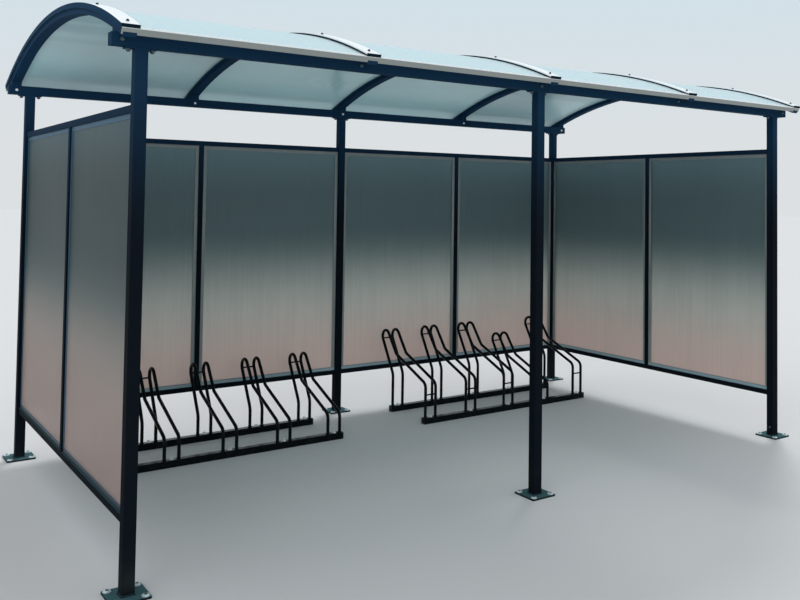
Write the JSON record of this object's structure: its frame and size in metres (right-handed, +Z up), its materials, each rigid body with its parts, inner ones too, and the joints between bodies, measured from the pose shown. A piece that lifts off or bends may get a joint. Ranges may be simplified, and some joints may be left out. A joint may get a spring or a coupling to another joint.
{
  "type": "bike shelter",
  "caption": "Open-fronted bike shelter with an arched translucent roof, glazed rear and side walls, and low wheel racks inside.",
  "frame": {"origin": "on the ground, in the middle of the bounding box", "axes": "+X along the shelter to the right as seen from its open front, +Y from the open front to the rear wall, +Z up"},
  "size_m": [4.33, 2.389, 2.3807],
  "materials": {
    "frame_paint": "satin anthracite powder coat",
    "strip_paint": "satin dark powder coat on aluminium",
    "rack_paint": "gloss black powder coat",
    "roof_sheet": "clear twin-wall polycarbonate",
    "wall_panel": "clear twin-wall polycarbonate",
    "panel_edging": "pale grey channel",
    "edge_aluminium": "mill-finish aluminium"
  },
  "bodies": {
    "root": {"front_left_post": "frame_paint", "front_middle_post": "frame_paint", "front_right_post": "frame_paint", "rear_left_post": "frame_paint", "rear_middle_post": "frame_paint", "rear_right_post": "frame_paint", "front_beam": "frame_paint", "rear_beam": "frame_paint", "roof_rib_1": "frame_paint", "roof_rib_2": "frame_paint", "roof_rib_3": "frame_paint", "roof_rib_4": "frame_paint", "roof_rib_5": "frame_paint", "roof_sheet_1": "roof_sheet", "roof_sheet_2": "roof_sheet", "roof_sheet_3": "roof_sheet", "roof_sheet_4": "roof_sheet", "roof_strip_1": "strip_paint", "roof_strip_2": "strip_paint", "roof_strip_3": "strip_paint", "roof_strip_4": "strip_paint", "roof_strip_5": "strip_paint", "front_edge_profile": "edge_aluminium", "rear_edge_profile": "edge_aluminium", "left_wall_frame": "frame_paint", "left_wall_edging": "panel_edging", "left_wall_panel_1": "wall_panel", "left_wall_panel_2": "wall_panel", "rear_left_wall_frame": "frame_paint", "rear_left_wall_edging": "panel_edging", "rear_left_wall_panel_1": "wall_panel", "rear_left_wall_panel_2": "wall_panel", "rear_right_wall_frame": "frame_paint", "rear_right_wall_edging": "panel_edging", "rear_right_wall_panel_1": "wall_panel", "rear_right_wall_panel_2": "wall_panel", "right_wall_frame": "frame_paint", "right_wall_edging": "panel_edging", "right_wall_panel_1": "wall_panel", "right_wall_panel_2": "wall_panel", "left_rack_rails": "rack_paint", "left_rack_hoops": "rack_paint", "right_rack_rails": "rack_paint", "right_rack_hoops": "rack_paint"}
  },
  "joints": []
}
